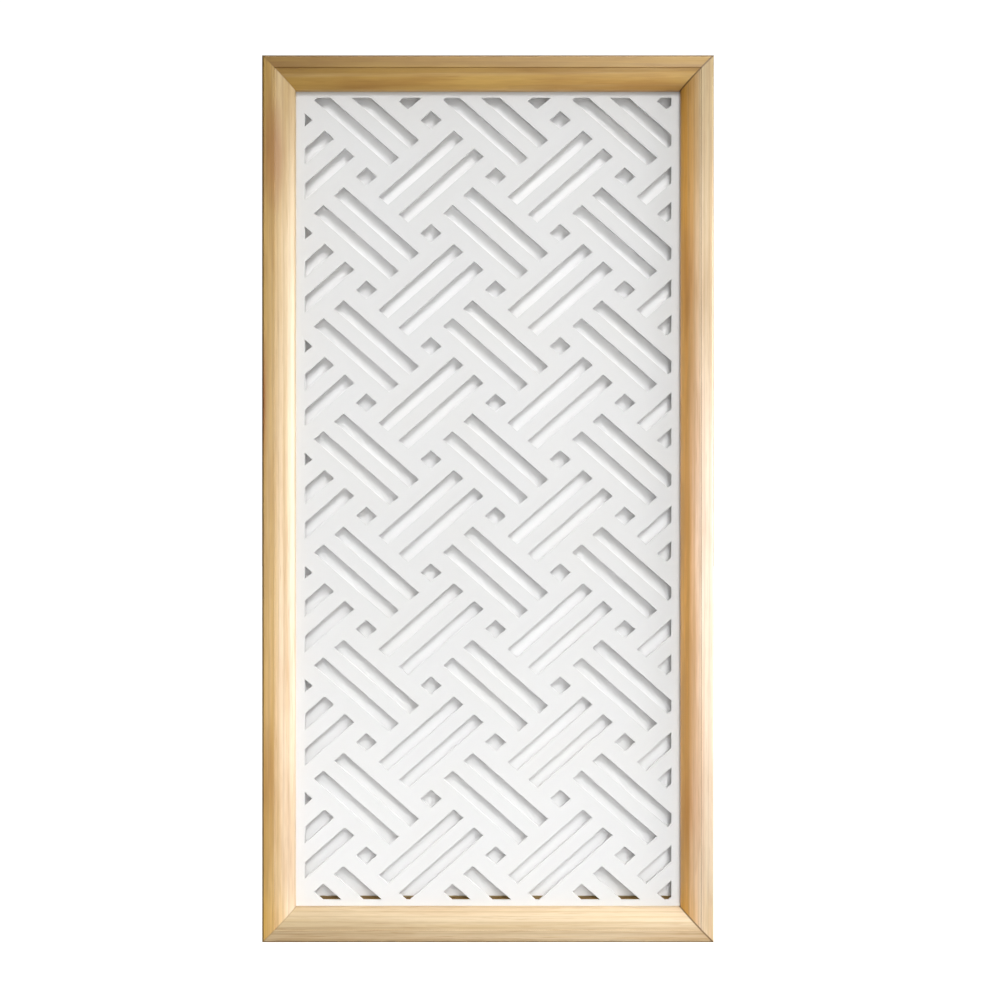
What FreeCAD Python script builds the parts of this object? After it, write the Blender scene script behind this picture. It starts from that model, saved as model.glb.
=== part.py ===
"""Decorative screen panel: a mitred pine frame round a white basket-weave lattice, with a sheet behind it.

Millimetres. +X right, +Y to the back, +Z up. The origin is under the middle of the panel, on the bottom edge.
A moulding is drawn in its own frame: X inward from the outer edge, Y from the front to the back, Z along it.
"""

import FreeCAD
import Part
import Sketcher
import math
import os
import re

SIZES = {
    # Whole panel
    "frame_width": 600.0,
    "frame_height": 1178.0,
    # Moulding section, from its outer edge inward and from its front to its back
    "moulding_width": 42.0,
    "outer_edge_radius": 4.0,
    "land_width": 17.0,
    "land_height": 1.0,
    "sight_depth": 16.0,
    "curve_radius": 34.0,
    "lip_thickness": 6.0,
    "rebate_width": 12.0,
    "backing_rebate_width": 10.0,
    "backing_recess": 2.0,
    # Sheets and the room between them
    "lattice_thickness": 3.0,
    "spacer_thickness": 10.0,
    "backing_thickness": 3.0,
    "sheet_clearance": 1.0,
    # Pierced field and its basket weave
    "side_margin": 11.6,
    "end_margin": 7.8,
    "weave_pitch_across": 173.7,
    "weave_pitch_up": 152.1,
    "weave_shift_across": -76.8,
    "weave_shift_up": -23.1,
    "slot_length": 134.7,
    "slot_width": 17.0,
    "slot_spacing": 36.1,
    "diamond_side": 18.9,
    # Battens between the sheets
    "spacer_clearance": 0.5,
    "ledge_rise": 1.5,
    # Biscuits across the mitres
    "biscuit_length": 47.0,
    "biscuit_width": 15.0,
    "biscuit_thickness": 4.0,
    "biscuit_cover": 1.0,
    "biscuit_end_play": 1.5,
    "biscuit_side_play": 0.2,
    # Screws that hold the backing sheet
    "screw_length": 16.0,
    "screw_diameter": 3.0,
    "screw_point_length": 3.0,
    "screw_head_diameter": 6.0,
    "screw_head_rim": 0.7,
    "screw_head_height": 1.7,
    "screw_crown_diameter": 3.6,
    "screw_hole_clearance": 0.2,
    "screw_pilot_spare": 1.0,
    "screw_inset": 4.5,
    "screw_corner_distance": 80.0,
    "screws_per_stile": 3,
    "screws_per_rail": 2,
    # Mitre and end cuts run past the wood by this much
    "cut_overrun": 5.0,
}

# Depths from the front of the frame
LATTICE_FRONT = "(sight_depth + lip_thickness)"
LATTICE_BACK = f"({LATTICE_FRONT} + lattice_thickness)"
BACKING_FRONT = f"({LATTICE_BACK} + spacer_thickness)"
BACKING_BACK = f"({BACKING_FRONT} + backing_thickness)"
FRAME_DEPTH = f"({BACKING_BACK} + backing_recess)"
BISCUIT_DEPTH = f"({LATTICE_FRONT} - biscuit_cover - biscuit_thickness / 2)"

# Openings and sheets, seen from the front
SIGHT_WIDTH = "(frame_width - 2 * moulding_width)"
SIGHT_HEIGHT = "(frame_height - 2 * moulding_width)"
LATTICE_WIDTH = f"({SIGHT_WIDTH} + 2 * (rebate_width - sheet_clearance))"
LATTICE_HEIGHT = f"({SIGHT_HEIGHT} + 2 * (rebate_width - sheet_clearance))"
FIELD_WIDTH = f"({SIGHT_WIDTH} - 2 * side_margin)"
FIELD_HEIGHT = f"({SIGHT_HEIGHT} - 2 * end_margin)"
BACKING_OVERLAP = "(rebate_width + backing_rebate_width - sheet_clearance)"
BACKING_WIDTH = f"({SIGHT_WIDTH} + 2 * {BACKING_OVERLAP})"
BACKING_HEIGHT = f"({SIGHT_HEIGHT} + 2 * {BACKING_OVERLAP})"

# Rebate walls, from the outer edge of a moulding
REBATE_WALL = "(moulding_width - rebate_width)"
BACKING_WALL = f"({REBATE_WALL} - backing_rebate_width)"

# Screws: lines of them along each side of the backing sheet
SCREW_LINE = f"({BACKING_WALL} + sheet_clearance + screw_inset)"
STILE_SCREW_SPAN = f"({BACKING_HEIGHT} - 2 * screw_corner_distance)"
RAIL_SCREW_SPAN = f"({BACKING_WIDTH} - 2 * screw_corner_distance)"
SCREW_HOLE_RADIUS = "(screw_diameter / 2 + screw_hole_clearance / 2)"
PILOT_DEPTH = "(screw_length - backing_thickness + screw_pilot_spare)"

# The two strand directions of the weave climb and fall by these shares of their length
STRAND_LENGTH = "sqrt(pow(weave_pitch_across; 2) + pow(weave_pitch_up; 2))"
STRAND_ACROSS = f"(weave_pitch_across / {STRAND_LENGTH})"
STRAND_UP = f"(weave_pitch_up / {STRAND_LENGTH})"

# First weave cell at the lower left, and how many cells cover the field
FIRST_CELL_ACROSS = (
    f"(weave_shift_across - weave_pitch_across"
    f" * ceil(({FIELD_WIDTH} / 2 + weave_shift_across) / weave_pitch_across))"
)
FIRST_CELL_UP = (
    f"(weave_shift_up - weave_pitch_up"
    f" * ceil(({FIELD_HEIGHT} / 2 + weave_shift_up) / weave_pitch_up))"
)
CELLS_ACROSS = f"(floor(({FIELD_WIDTH} / 2 - {FIRST_CELL_ACROSS}) / weave_pitch_across + 1 / 2) + 1)"
CELLS_UP = f"(floor(({FIELD_HEIGHT} / 2 - {FIRST_CELL_UP}) / weave_pitch_up + 1 / 2) + 1)"

SQUARE_TURN = 90
HALF_TURN = 180
MITRE_ANGLE = 45
# How a sketch numbers the ends and the centre of an edge, and its own origin
START, END, CENTRE = range(1, 4)
ORIGIN_POINT = (-1, START)

doc = FreeCAD.newDocument("screen_panel")
sheet = doc.addObject("Spreadsheet::Sheet", "Sizes")
for row, (alias, size) in enumerate(SIZES.items(), start=1):
    sheet.set(f"A{row}", alias)
    sheet.set(f"B{row}", str(size))
    sheet.setAlias(f"B{row}", alias)
doc.recompute()

subparts = []


def bound(formula):
    """The formula with each named size pointed at its cell in the sheet."""
    return re.sub(r"[a-z_]+", lambda word: f"Sizes.{word[0]}" if word[0] in SIZES else word[0], formula)


def value(formula):
    """What the formula comes to with the sheet's sizes."""
    return float(sheet.evalExpression(bound(formula)))


def bind(item, **formulas):
    """Ties properties of a document object to formulas of the named sizes."""
    for name, formula in formulas.items():
        item.setExpression(name.replace("__", "."), bound(formula))


def place(item, across, back, up, angle=0):
    """Turns a sub-part about its front-to-back axis, then puts its origin where the sizes say."""
    item.Placement = FreeCAD.Placement(FreeCAD.Vector(), FreeCAD.Rotation(FreeCAD.Vector(0, 1, 0), angle))
    bind(item, Placement__Base__x=across, Placement__Base__y=back, Placement__Base__z=up)
    subparts.append(item)


def origin_feature(body, role):
    """A body's own origin plane or axis."""
    return next(item for item in body.Origin.OriginFeatures if item.Role == role)


def new_sketch(body, name, role, offset="0"):
    """A sketch on one of the body's own origin planes, set off along the plane's normal."""
    sketch = body.newObject("Sketcher::SketchObject", f"{body.Name}_{name}")
    sketch.AttachmentSupport = (origin_feature(body, role), [""])
    sketch.MapMode = "FlatFace"
    bind(sketch, AttachmentOffset__Base__z=offset)
    return sketch


def constrain(sketch, constraint, formula):
    """Adds a dimension to a sketch and ties it to a formula."""
    index = sketch.addConstraint(constraint)
    sketch.setExpression(f"Constraints[{index}]", bound(formula))


def pin(sketch, edge, end, point):
    """Fixes one end of an edge at a pair of formulas measured from the sketch's origin."""
    for kind, formula in zip(("DistanceX", "DistanceY"), point):
        constrain(sketch, Sketcher.Constraint(kind, *ORIGIN_POINT, edge, end, value(formula)), formula)


def draw_outline(sketch, corners, bulges=None):
    """A closed outline through corners, each a pair of formulas.

    bulges maps the corner that an arc starts from to its radius; that arc runs with its centre to the left of
    the way from the corner to the next one. The other sides are straight.
    """
    bulges = bulges or {}
    points = [FreeCAD.Vector(value(across), value(up), 0) for across, up in corners]
    ends = []
    for index, start in enumerate(points):
        finish = points[(index + 1) % len(points)]
        if index in bulges:
            ends.append(draw_arc(sketch, start, finish, bulges[index]))
        else:
            edge = sketch.addGeometry(Part.LineSegment(start, finish), False)
            ends.append((edge, START, END))
    for index, corner in enumerate(corners):
        edge, start, _ = ends[index]
        before, _, finish = ends[index - 1]
        sketch.addConstraint(Sketcher.Constraint("Coincident", before, finish, edge, start))
        pin(sketch, edge, start, corner)


def draw_arc(sketch, start, finish, radius):
    """An arc of less than a half circle that turns left from start to finish."""
    chord = finish - start
    size = value(radius)
    left = FreeCAD.Vector(-chord.y, chord.x, 0).normalize()
    reach = math.sqrt(size**2 - (chord.Length / 2) ** 2)
    centre = (start + finish) / 2 + left * reach
    middle = centre - left * size
    edge = sketch.addGeometry(Part.Arc(start, middle, finish), False)
    constrain(sketch, Sketcher.Constraint("Radius", edge, size), radius)
    drawn = sketch.Geometry[edge]
    forward = (drawn.StartPoint - start).Length < (drawn.EndPoint - start).Length
    return (edge, START, END) if forward else (edge, END, START)


def pad(body, sketch, length, symmetric=False, reverse=False):
    """Thickens a sketch along its plane's normal, against it, or to both sides alike."""
    feature = body.newObject("PartDesign::Pad", f"{sketch.Name}_pad")
    feature.Profile = sketch
    feature.SideType = "Symmetric" if symmetric else "One side"
    feature.Reversed = reverse
    bind(feature, Length=length)
    return feature


def pocket(body, sketch, length=None, symmetric=False, reverse=False):
    """Cuts a sketch out of the body and makes sure that wood or sheet was really removed."""
    doc.recompute()
    before = body.Shape.Volume
    feature = body.newObject("PartDesign::Pocket", f"{sketch.Name}_pocket")
    feature.Profile = sketch
    feature.SideType = "Symmetric" if symmetric else "One side"
    feature.Reversed = reverse
    if length is None:
        feature.Type = "ThroughAll"
    else:
        bind(feature, Length=length)
    doc.recompute()
    if not body.Shape.Volume < before:
        raise RuntimeError(f"{feature.Name} cuts nothing")
    return feature


def repeat(body, feature, role, span, count):
    """Copies a feature in a row along one of the body's axes."""
    pattern = body.newObject("PartDesign::LinearPattern", f"{feature.Name}_row")
    pattern.Originals = [feature]
    pattern.Direction = (origin_feature(body, role), [""])
    bind(pattern, Length=span, Occurrences=count)
    body.Tip = pattern
    return pattern


def draw_circle(sketch, centre, radius):
    """A round hole at a pair of formulas."""
    middle = FreeCAD.Vector(value(centre[0]), value(centre[1]), 0)
    edge = sketch.addGeometry(Part.Circle(middle, FreeCAD.Vector(0, 0, 1), value(radius)), False)
    constrain(sketch, Sketcher.Constraint("Radius", edge, value(radius)), radius)
    for kind, formula in zip(("DistanceX", "DistanceY"), centre):
        constrain(sketch, Sketcher.Constraint(kind, *ORIGIN_POINT, edge, CENTRE, value(formula)), formula)


def rectangle(width, height):
    """The corners of a rectangle about the sketch's origin."""
    return [
        (f"-{width} / 2", f"-{height} / 2"),
        (f"{width} / 2", f"-{height} / 2"),
        (f"{width} / 2", f"{height} / 2"),
        (f"-{width} / 2", f"{height} / 2"),
    ]


def lens(length, width, tip, opposite_tip):
    """The outline of a biscuit: two equal arcs between its tips, as corners and bulges."""
    radius = f"((pow({length}; 2) + pow({width}; 2)) / (4 * {width}))"
    return [tip, opposite_tip], {0: radius, 1: radius}


def moulding(name, length, screw_span, screw_count):
    """One mitred length of the frame, in its own frame, with its biscuit slots and screw holes."""
    body = doc.addObject("PartDesign::Body", name)
    section = new_sketch(body, "section", "XY_Plane")
    corners = [
        ("0", "outer_edge_radius"),
        ("outer_edge_radius", "0"),
        ("land_width", "0"),
        ("land_width", "land_height"),
        ("moulding_width", "sight_depth"),
        ("moulding_width", LATTICE_FRONT),
        (REBATE_WALL, LATTICE_FRONT),
        (REBATE_WALL, BACKING_FRONT),
        (BACKING_WALL, BACKING_FRONT),
        (BACKING_WALL, FRAME_DEPTH),
        ("0", FRAME_DEPTH),
    ]
    draw_outline(section, corners, {0: "outer_edge_radius", 3: "curve_radius"})
    pad(body, section, length, symmetric=True)
    cut_mitres(body, length)
    cut_biscuit_slots(body, length)
    pilots = new_sketch(body, "pilots", "XZ_Plane", f"-{BACKING_FRONT}")
    draw_circle(pilots, (SCREW_LINE, f"-{screw_span} / 2"), SCREW_HOLE_RADIUS)
    pilot = pocket(body, pilots, PILOT_DEPTH, reverse=True)
    repeat(body, pilot, "Z_Axis", screw_span, screw_count)
    return body


def cut_mitres(body, length):
    """Takes both ends of a moulding off at the mitre angle, from its outer corners inward."""
    sketch = new_sketch(body, "mitres", "XZ_Plane")
    outside, inside = "-cut_overrun", "(moulding_width + cut_overrun)"
    far = f"({length} / 2 + cut_overrun)"
    near = f"({length} / 2 - {inside})"
    draw_outline(sketch, [(outside, far), (inside, near), (inside, far)])
    draw_outline(sketch, [(outside, f"-{far}"), (inside, f"-{far}"), (inside, f"-{near}")])
    pocket(body, sketch)


def cut_biscuit_slots(body, length):
    """Cuts a slot for half a biscuit into the middle of each mitre."""
    sketch = new_sketch(body, "biscuit_slots", "XZ_Plane", f"-{BISCUIT_DEPTH}")
    slot_length = "(biscuit_length + biscuit_end_play)"
    slot_width = "(biscuit_width + biscuit_end_play)"
    reach = f"({slot_length} / 2 * cos({MITRE_ANGLE}))"
    inward = "(moulding_width / 2)"
    for side in ("", "-"):
        along = f"({length} / 2 - {inward})"
        outer_tip = (f"{inward} - {reach}", f"{side}({along} + {reach})")
        inner_tip = (f"{inward} + {reach}", f"{side}({along} - {reach})")
        draw_outline(sketch, *lens(slot_length, slot_width, outer_tip, inner_tip))
    pocket(body, sketch, "biscuit_thickness + biscuit_side_play", symmetric=True)


def biscuit(name):
    """A beech biscuit: lens-shaped, flat, about its own middle, its length along X."""
    body = doc.addObject("PartDesign::Body", name)
    sketch = new_sketch(body, "outline", "XZ_Plane")
    tips = ("-biscuit_length / 2", "0"), ("biscuit_length / 2", "0")
    draw_outline(sketch, *lens("biscuit_length", "biscuit_width", *tips))
    pad(body, sketch, "biscuit_thickness", symmetric=True)
    return body


def strand_quad(centre, rising, falling):
    """The corners of a four-sided hole with two sides along each strand direction."""
    across, up = centre
    return [
        (
            f"{across} + ({a} * {rising} + {b} * {falling}) / 2 * {STRAND_ACROSS}",
            f"{up} + ({a} * {rising} - {b} * {falling}) / 2 * {STRAND_UP}",
        )
        for a, b in ((-1, -1), (-1, 1), (1, 1), (1, -1))
    ]


def weave_cell():
    """The six holes of one weave cell: a rising pair of slots, a falling pair and two diamonds."""
    here = (FIRST_CELL_ACROSS, FIRST_CELL_UP)
    right = (f"{FIRST_CELL_ACROSS} + weave_pitch_across / 2", FIRST_CELL_UP)
    above = (FIRST_CELL_ACROSS, f"{FIRST_CELL_UP} + weave_pitch_up / 2")
    corner = (right[0], above[1])
    holes = [strand_quad(centre, "diamond_side", "diamond_side") for centre in (right, above)]
    for side in ("-", "+"):
        step_across = f"{side} slot_spacing / 2 * {STRAND_ACROSS}"
        step_up = f"slot_spacing / 2 * {STRAND_UP}"
        other = "+" if side == "-" else "-"
        rising_slot = (f"{here[0]} {step_across}", f"{here[1]} {other} {step_up}")
        falling_slot = (f"{corner[0]} {step_across}", f"{corner[1]} {side} {step_up}")
        holes.append(strand_quad(rising_slot, "slot_length", "slot_width"))
        holes.append(strand_quad(falling_slot, "slot_width", "slot_length"))
    return holes


def lattice(name):
    """The pierced sheet: one weave cell repeated over it, then closed again round the field by its border."""
    body = doc.addObject("PartDesign::Body", name)
    body.AllowCompound = True
    outline = new_sketch(body, "sheet", "XZ_Plane")
    draw_outline(outline, rectangle(LATTICE_WIDTH, LATTICE_HEIGHT))
    pad(body, outline, "lattice_thickness", reverse=True)
    cell = new_sketch(body, "cell", "XZ_Plane")
    for hole in weave_cell():
        draw_outline(cell, hole)
    holes = pocket(body, cell)
    weave = body.newObject("PartDesign::MultiTransform", f"{body.Name}_weave")
    weave.Originals = [holes]
    steps = []
    for role, pitch, count in (
        ("X_Axis", "weave_pitch_across", CELLS_ACROSS),
        ("Z_Axis", "weave_pitch_up", CELLS_UP),
    ):
        step = body.newObject("PartDesign::LinearPattern", f"{body.Name}_{role}_step")
        step.Direction = (origin_feature(body, role), [""])
        bind(step, Length=f"{pitch} * ({count} - 1)", Occurrences=count)
        steps.append(step)
    weave.Transformations = steps
    body.Tip = weave
    doc.recompute()
    border = new_sketch(body, "border", "XZ_Plane")
    draw_outline(border, rectangle(LATTICE_WIDTH, LATTICE_HEIGHT))
    draw_outline(border, rectangle(FIELD_WIDTH, FIELD_HEIGHT))
    pad(body, border, "lattice_thickness", reverse=True)
    return body


def backing(name):
    """The plain sheet behind the lattice, with its rows of screw holes."""
    body = doc.addObject("PartDesign::Body", name)
    outline = new_sketch(body, "sheet", "XZ_Plane")
    draw_outline(outline, rectangle(BACKING_WIDTH, BACKING_HEIGHT))
    pad(body, outline, "backing_thickness", reverse=True)
    side_line = f"({BACKING_WIDTH} / 2 - screw_inset)"
    end_line = f"({BACKING_HEIGHT} / 2 - screw_inset)"
    side_holes = new_sketch(body, "side_holes", "XZ_Plane")
    end_holes = new_sketch(body, "end_holes", "XZ_Plane")
    for side in ("-", ""):
        draw_circle(side_holes, (f"{side}{side_line}", f"-{STILE_SCREW_SPAN} / 2"), SCREW_HOLE_RADIUS)
        draw_circle(end_holes, (f"-{RAIL_SCREW_SPAN} / 2", f"{side}{end_line}"), SCREW_HOLE_RADIUS)
    repeat(body, pocket(body, side_holes), "Z_Axis", STILE_SCREW_SPAN, "screws_per_stile")
    repeat(body, pocket(body, end_holes), "X_Axis", RAIL_SCREW_SPAN, "screws_per_rail")
    return body


def spacer(name, width, height):
    """A plain batten that fills the room between the two sheets."""
    batten = doc.addObject("Part::Box", name)
    bind(batten, Length=width, Width="spacer_thickness", Height=height)
    return batten


def screw():
    """One pan-head screw about the Y axis: its head on the X-Z plane, its point towards the front."""
    head, crown = value("screw_head_diameter / 2"), value("screw_crown_diameter / 2")
    rim, height = value("screw_head_rim"), value("screw_head_height")
    shank = value("screw_diameter / 2")
    taper, tip = value("screw_length - screw_point_length"), value("screw_length")
    outline = [(0, height), (0, -tip), (shank, -taper), (shank, 0), (head, 0), (head, rim), (crown, height)]
    points = [FreeCAD.Vector(across, back, 0) for across, back in outline]
    section = Part.Face(Part.makePolygon([*points, points[0]]))
    return section.revolve(FreeCAD.Vector(), FreeCAD.Vector(0, 1, 0), 2 * HALF_TURN)


def screw_row(span, count):
    """Even places along a line of screws, about its middle."""
    total = int(value(count))
    return [value(f"-{span} / 2 + {span} * {index} / ({total} - 1)") for index in range(total)]


def screws(name):
    """All the backing screws, as separate solids round the edge of the sheet."""
    side_line = value(f"{BACKING_WIDTH} / 2 - screw_inset")
    end_line = value(f"{BACKING_HEIGHT} / 2 - screw_inset")
    places = []
    for side in (-1, 1):
        for up in screw_row(STILE_SCREW_SPAN, "screws_per_stile"):
            places.append(FreeCAD.Vector(side * side_line, 0, up))
        for across in screw_row(RAIL_SCREW_SPAN, "screws_per_rail"):
            places.append(FreeCAD.Vector(across, 0, side * end_line))
    group = doc.addObject("Part::Feature", name)
    group.Shape = Part.Compound([screw().translated(spot) for spot in places])
    return group


FRONT = f"-{FRAME_DEPTH} / 2"
MIDDLE_UP = "frame_height / 2"
INNER_REBATE = f"({SIGHT_WIDTH} / 2 + rebate_width - spacer_clearance)"
LEDGE_UP = "(moulding_width + end_margin + ledge_rise)"
SPACER_FOOT_UP = f"({REBATE_WALL} + spacer_clearance)"
SPACER_FRONT = f"{FRONT} + {LATTICE_BACK}"

stile = ("frame_height", STILE_SCREW_SPAN, "screws_per_stile")
rail = ("frame_width", RAIL_SCREW_SPAN, "screws_per_rail")
place(moulding("frame_left_stile", *stile), "-frame_width / 2", FRONT, MIDDLE_UP)
place(moulding("frame_right_stile", *stile), "frame_width / 2", FRONT, MIDDLE_UP, angle=HALF_TURN)
place(moulding("frame_top_rail", *rail), "0", FRONT, "frame_height", angle=SQUARE_TURN)
place(moulding("frame_bottom_rail", *rail), "0", FRONT, "0", angle=-SQUARE_TURN)

for across_name, across in (("left", "-1"), ("right", "1")):
    for up_name, up in (("bottom", "moulding_width / 2"), ("top", "frame_height - moulding_width / 2")):
        falls = (across_name == "left") == (up_name == "top")
        place(
            biscuit(f"biscuit_{up_name}_{across_name}"),
            f"{across} * (frame_width / 2 - moulding_width / 2)",
            f"{FRONT} + {BISCUIT_DEPTH}",
            up,
            angle=MITRE_ANGLE if falls else -MITRE_ANGLE,
        )

place(lattice("lattice_sheet"), "0", f"{FRONT} + {LATTICE_FRONT}", MIDDLE_UP)
place(backing("backing_sheet"), "0", f"{FRONT} + {BACKING_FRONT}", MIDDLE_UP)
place(screws("backing_screws"), "0", f"{FRONT} + {BACKING_BACK}", MIDDLE_UP)

SPACER_WIDTH = "(rebate_width - spacer_clearance)"
SPACER_LENGTH = f"2 * {INNER_REBATE}"
TOP_SPACER_UP = "(frame_height - moulding_width)"
LEDGE_HEIGHT = f"({LEDGE_UP} - {SPACER_FOOT_UP})"
SIDE_HEIGHT = f"({TOP_SPACER_UP} - {LEDGE_UP})"
place(spacer("spacer_bottom", SPACER_LENGTH, LEDGE_HEIGHT), f"-{INNER_REBATE}", SPACER_FRONT, SPACER_FOOT_UP)
place(spacer("spacer_top", SPACER_LENGTH, SPACER_WIDTH), f"-{INNER_REBATE}", SPACER_FRONT, TOP_SPACER_UP)
place(spacer("spacer_left", SPACER_WIDTH, SIDE_HEIGHT), f"-{INNER_REBATE}", SPACER_FRONT, LEDGE_UP)
place(spacer("spacer_right", SPACER_WIDTH, SIDE_HEIGHT), f"{SIGHT_WIDTH} / 2", SPACER_FRONT, LEDGE_UP)

doc.recompute()
for item in doc.Objects:
    if {"Invalid", "Error"} & set(item.State):
        raise RuntimeError(f"{item.Name} failed: {item.State}")
for subpart in subparts:
    if subpart.Shape.isNull() or not subpart.Shape.isValid():
        raise RuntimeError(f"{subpart.Label} has no valid shape")

os.makedirs("parts", exist_ok=True)
for subpart in subparts:
    subpart.Shape.exportStep(f"parts/{subpart.Label}.step")
    size = subpart.Shape.BoundBox
    print(subpart.Label, len(subpart.Shape.Solids), round(subpart.Shape.Volume), size)
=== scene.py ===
"""Screen panel: a mitred pine frame round a white basket-weave lattice, modelled and finished for rendering.

Metres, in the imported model's frame: +X right, +Y to the back, +Z up, with the panel standing on the floor.
A moulding is drawn in its own frame: X inward from the outer edge, Y from the front to the back, Z along it.
"""

import bmesh
import bpy
import math
from bpy.props import FloatProperty, FloatVectorProperty, IntProperty, PointerProperty
from mathutils import Color, Matrix, Vector
from typing import NamedTuple


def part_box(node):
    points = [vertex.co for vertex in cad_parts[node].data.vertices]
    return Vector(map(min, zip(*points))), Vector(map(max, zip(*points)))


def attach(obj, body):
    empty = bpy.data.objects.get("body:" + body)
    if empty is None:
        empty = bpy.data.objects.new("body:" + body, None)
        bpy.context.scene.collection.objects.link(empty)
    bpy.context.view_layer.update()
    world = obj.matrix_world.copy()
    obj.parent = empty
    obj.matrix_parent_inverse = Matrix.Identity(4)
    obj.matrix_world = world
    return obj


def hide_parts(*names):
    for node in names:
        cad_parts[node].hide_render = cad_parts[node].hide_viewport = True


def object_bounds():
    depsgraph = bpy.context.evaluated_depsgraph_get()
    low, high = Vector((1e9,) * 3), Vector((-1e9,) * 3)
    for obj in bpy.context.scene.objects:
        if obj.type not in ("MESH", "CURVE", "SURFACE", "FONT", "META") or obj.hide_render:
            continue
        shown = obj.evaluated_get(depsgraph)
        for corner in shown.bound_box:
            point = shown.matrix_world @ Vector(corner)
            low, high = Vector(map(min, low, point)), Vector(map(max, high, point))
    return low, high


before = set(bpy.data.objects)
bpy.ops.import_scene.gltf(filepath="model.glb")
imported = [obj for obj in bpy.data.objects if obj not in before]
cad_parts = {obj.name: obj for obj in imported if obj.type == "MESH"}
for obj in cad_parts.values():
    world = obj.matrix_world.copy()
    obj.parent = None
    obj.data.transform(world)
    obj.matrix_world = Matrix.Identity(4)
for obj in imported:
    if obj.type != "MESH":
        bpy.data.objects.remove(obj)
CAD_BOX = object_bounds()

bl_info = {
    "name": "Screen Panel",
    "version": (1, 0, 0),
    "blender": (4, 5, 0),
    "location": "View3D > Sidebar > Screen Panel",
    "description": "Models a pine-framed screen panel round its packed solids and sets it in a studio",
    "category": "Object",
}

BODY = "root"
# Distances below which two points count as one: as a rule, and after a cut.
TOUCH = 1e-6
WELD = 5e-6
FLAT_ANGLE = math.radians(1)
SMOOTH_ANGLE = math.radians(35)
SHARP_ANGLE = math.radians(50)
SQUARE_TURN = math.radians(90)
HALF_TURN = math.radians(180)
FULL_TURN = math.radians(360)
# Nearly all the values of a noise texture lie between these.
NOISE_RANGE = (0.3, 0.7)
# Radians of a wave texture in one metre, at a scale of one.
WAVE_RATE = 20
# How well the rounded and the plain normal agree on a flat face and on a sharp edge.
FLAT_MATCH = 0.99
EDGE_MATCH = 0.80
# The warmth of a painted shade acts in full on blue, and by this share on green.
GREEN_SHARE = 1 / 8
WHITE = (1, 1, 1, 1)

PANEL_LOW, PANEL_HIGH = CAD_BOX
PANEL_MIDDLE = (PANEL_LOW + PANEL_HIGH) / 2
PANEL_SIZE = PANEL_HIGH - PANEL_LOW
STILE_LOW, STILE_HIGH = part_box("frame_left_stile")
LATTICE_LOW, LATTICE_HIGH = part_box("lattice_sheet")
BACKING_LOW, BACKING_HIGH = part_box("backing_sheet")


def length(name, description, default):
    """A length that the sidebar shows in the scene's units."""
    return FloatProperty(name=name, description=description, default=default, precision=5, unit="LENGTH")


def share(name, description, default):
    """A share between nothing and the whole."""
    return FloatProperty(name=name, description=description, default=default, min=0, max=1, subtype="FACTOR")


def colour(name, description, default):
    """A linear colour that the sidebar shows as a swatch."""
    return FloatVectorProperty(
        name=name, description=description, default=default, min=0, max=1, subtype="COLOR", size=3
    )


def power(name, description, default):
    """The power of a lamp."""
    return FloatProperty(name=name, description=description, default=default, min=0, unit="POWER")


def number(name, description, default):
    """A plain number that is never negative."""
    return FloatProperty(name=name, description=description, default=default, min=0, subtype="UNSIGNED")


def count(name, description, default):
    """How many straight steps stand for a round."""
    return IntProperty(name=name, description=description, default=default, min=2, subtype="UNSIGNED")


class MouldingSettings(bpy.types.PropertyGroup):
    """Section of the frame, from its outer edge inward and from its front to its back."""

    width: length("Width", "From the outer edge to the sight edge", STILE_HIGH.x - STILE_LOW.x)
    outer_edge_radius: length("Outer edge radius", "Rounding of the front outer edge", 0.004)
    land_width: length("Land width", "Flat band along the outer edge", 0.017)
    land_height: length("Land height", "How far the land stands above the curve", 0.001)
    sight_depth: length("Sight depth", "Depth of the sight edge behind the land", 0.016)
    curve_radius: length("Curve radius", "Radius of the face between the land and the sight edge", 0.034)
    rebate_width: length("Rebate width", "Ledge that holds the lattice", 0.012)
    backing_rebate_width: length("Backing rebate width", "Ledge that holds the backing", 0.010)
    arris_easing: length("Arris easing", "How far the long edges are sanded back", 0.0004)
    mitre_easing: length("Mitre easing", "How far the edges of a mitre are sanded back", 0.00022)
    edge_steps: count("Edge steps", "Steps round the outer edge", 8)
    curve_steps: count("Curve steps", "Steps across the curve", 24)


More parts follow.
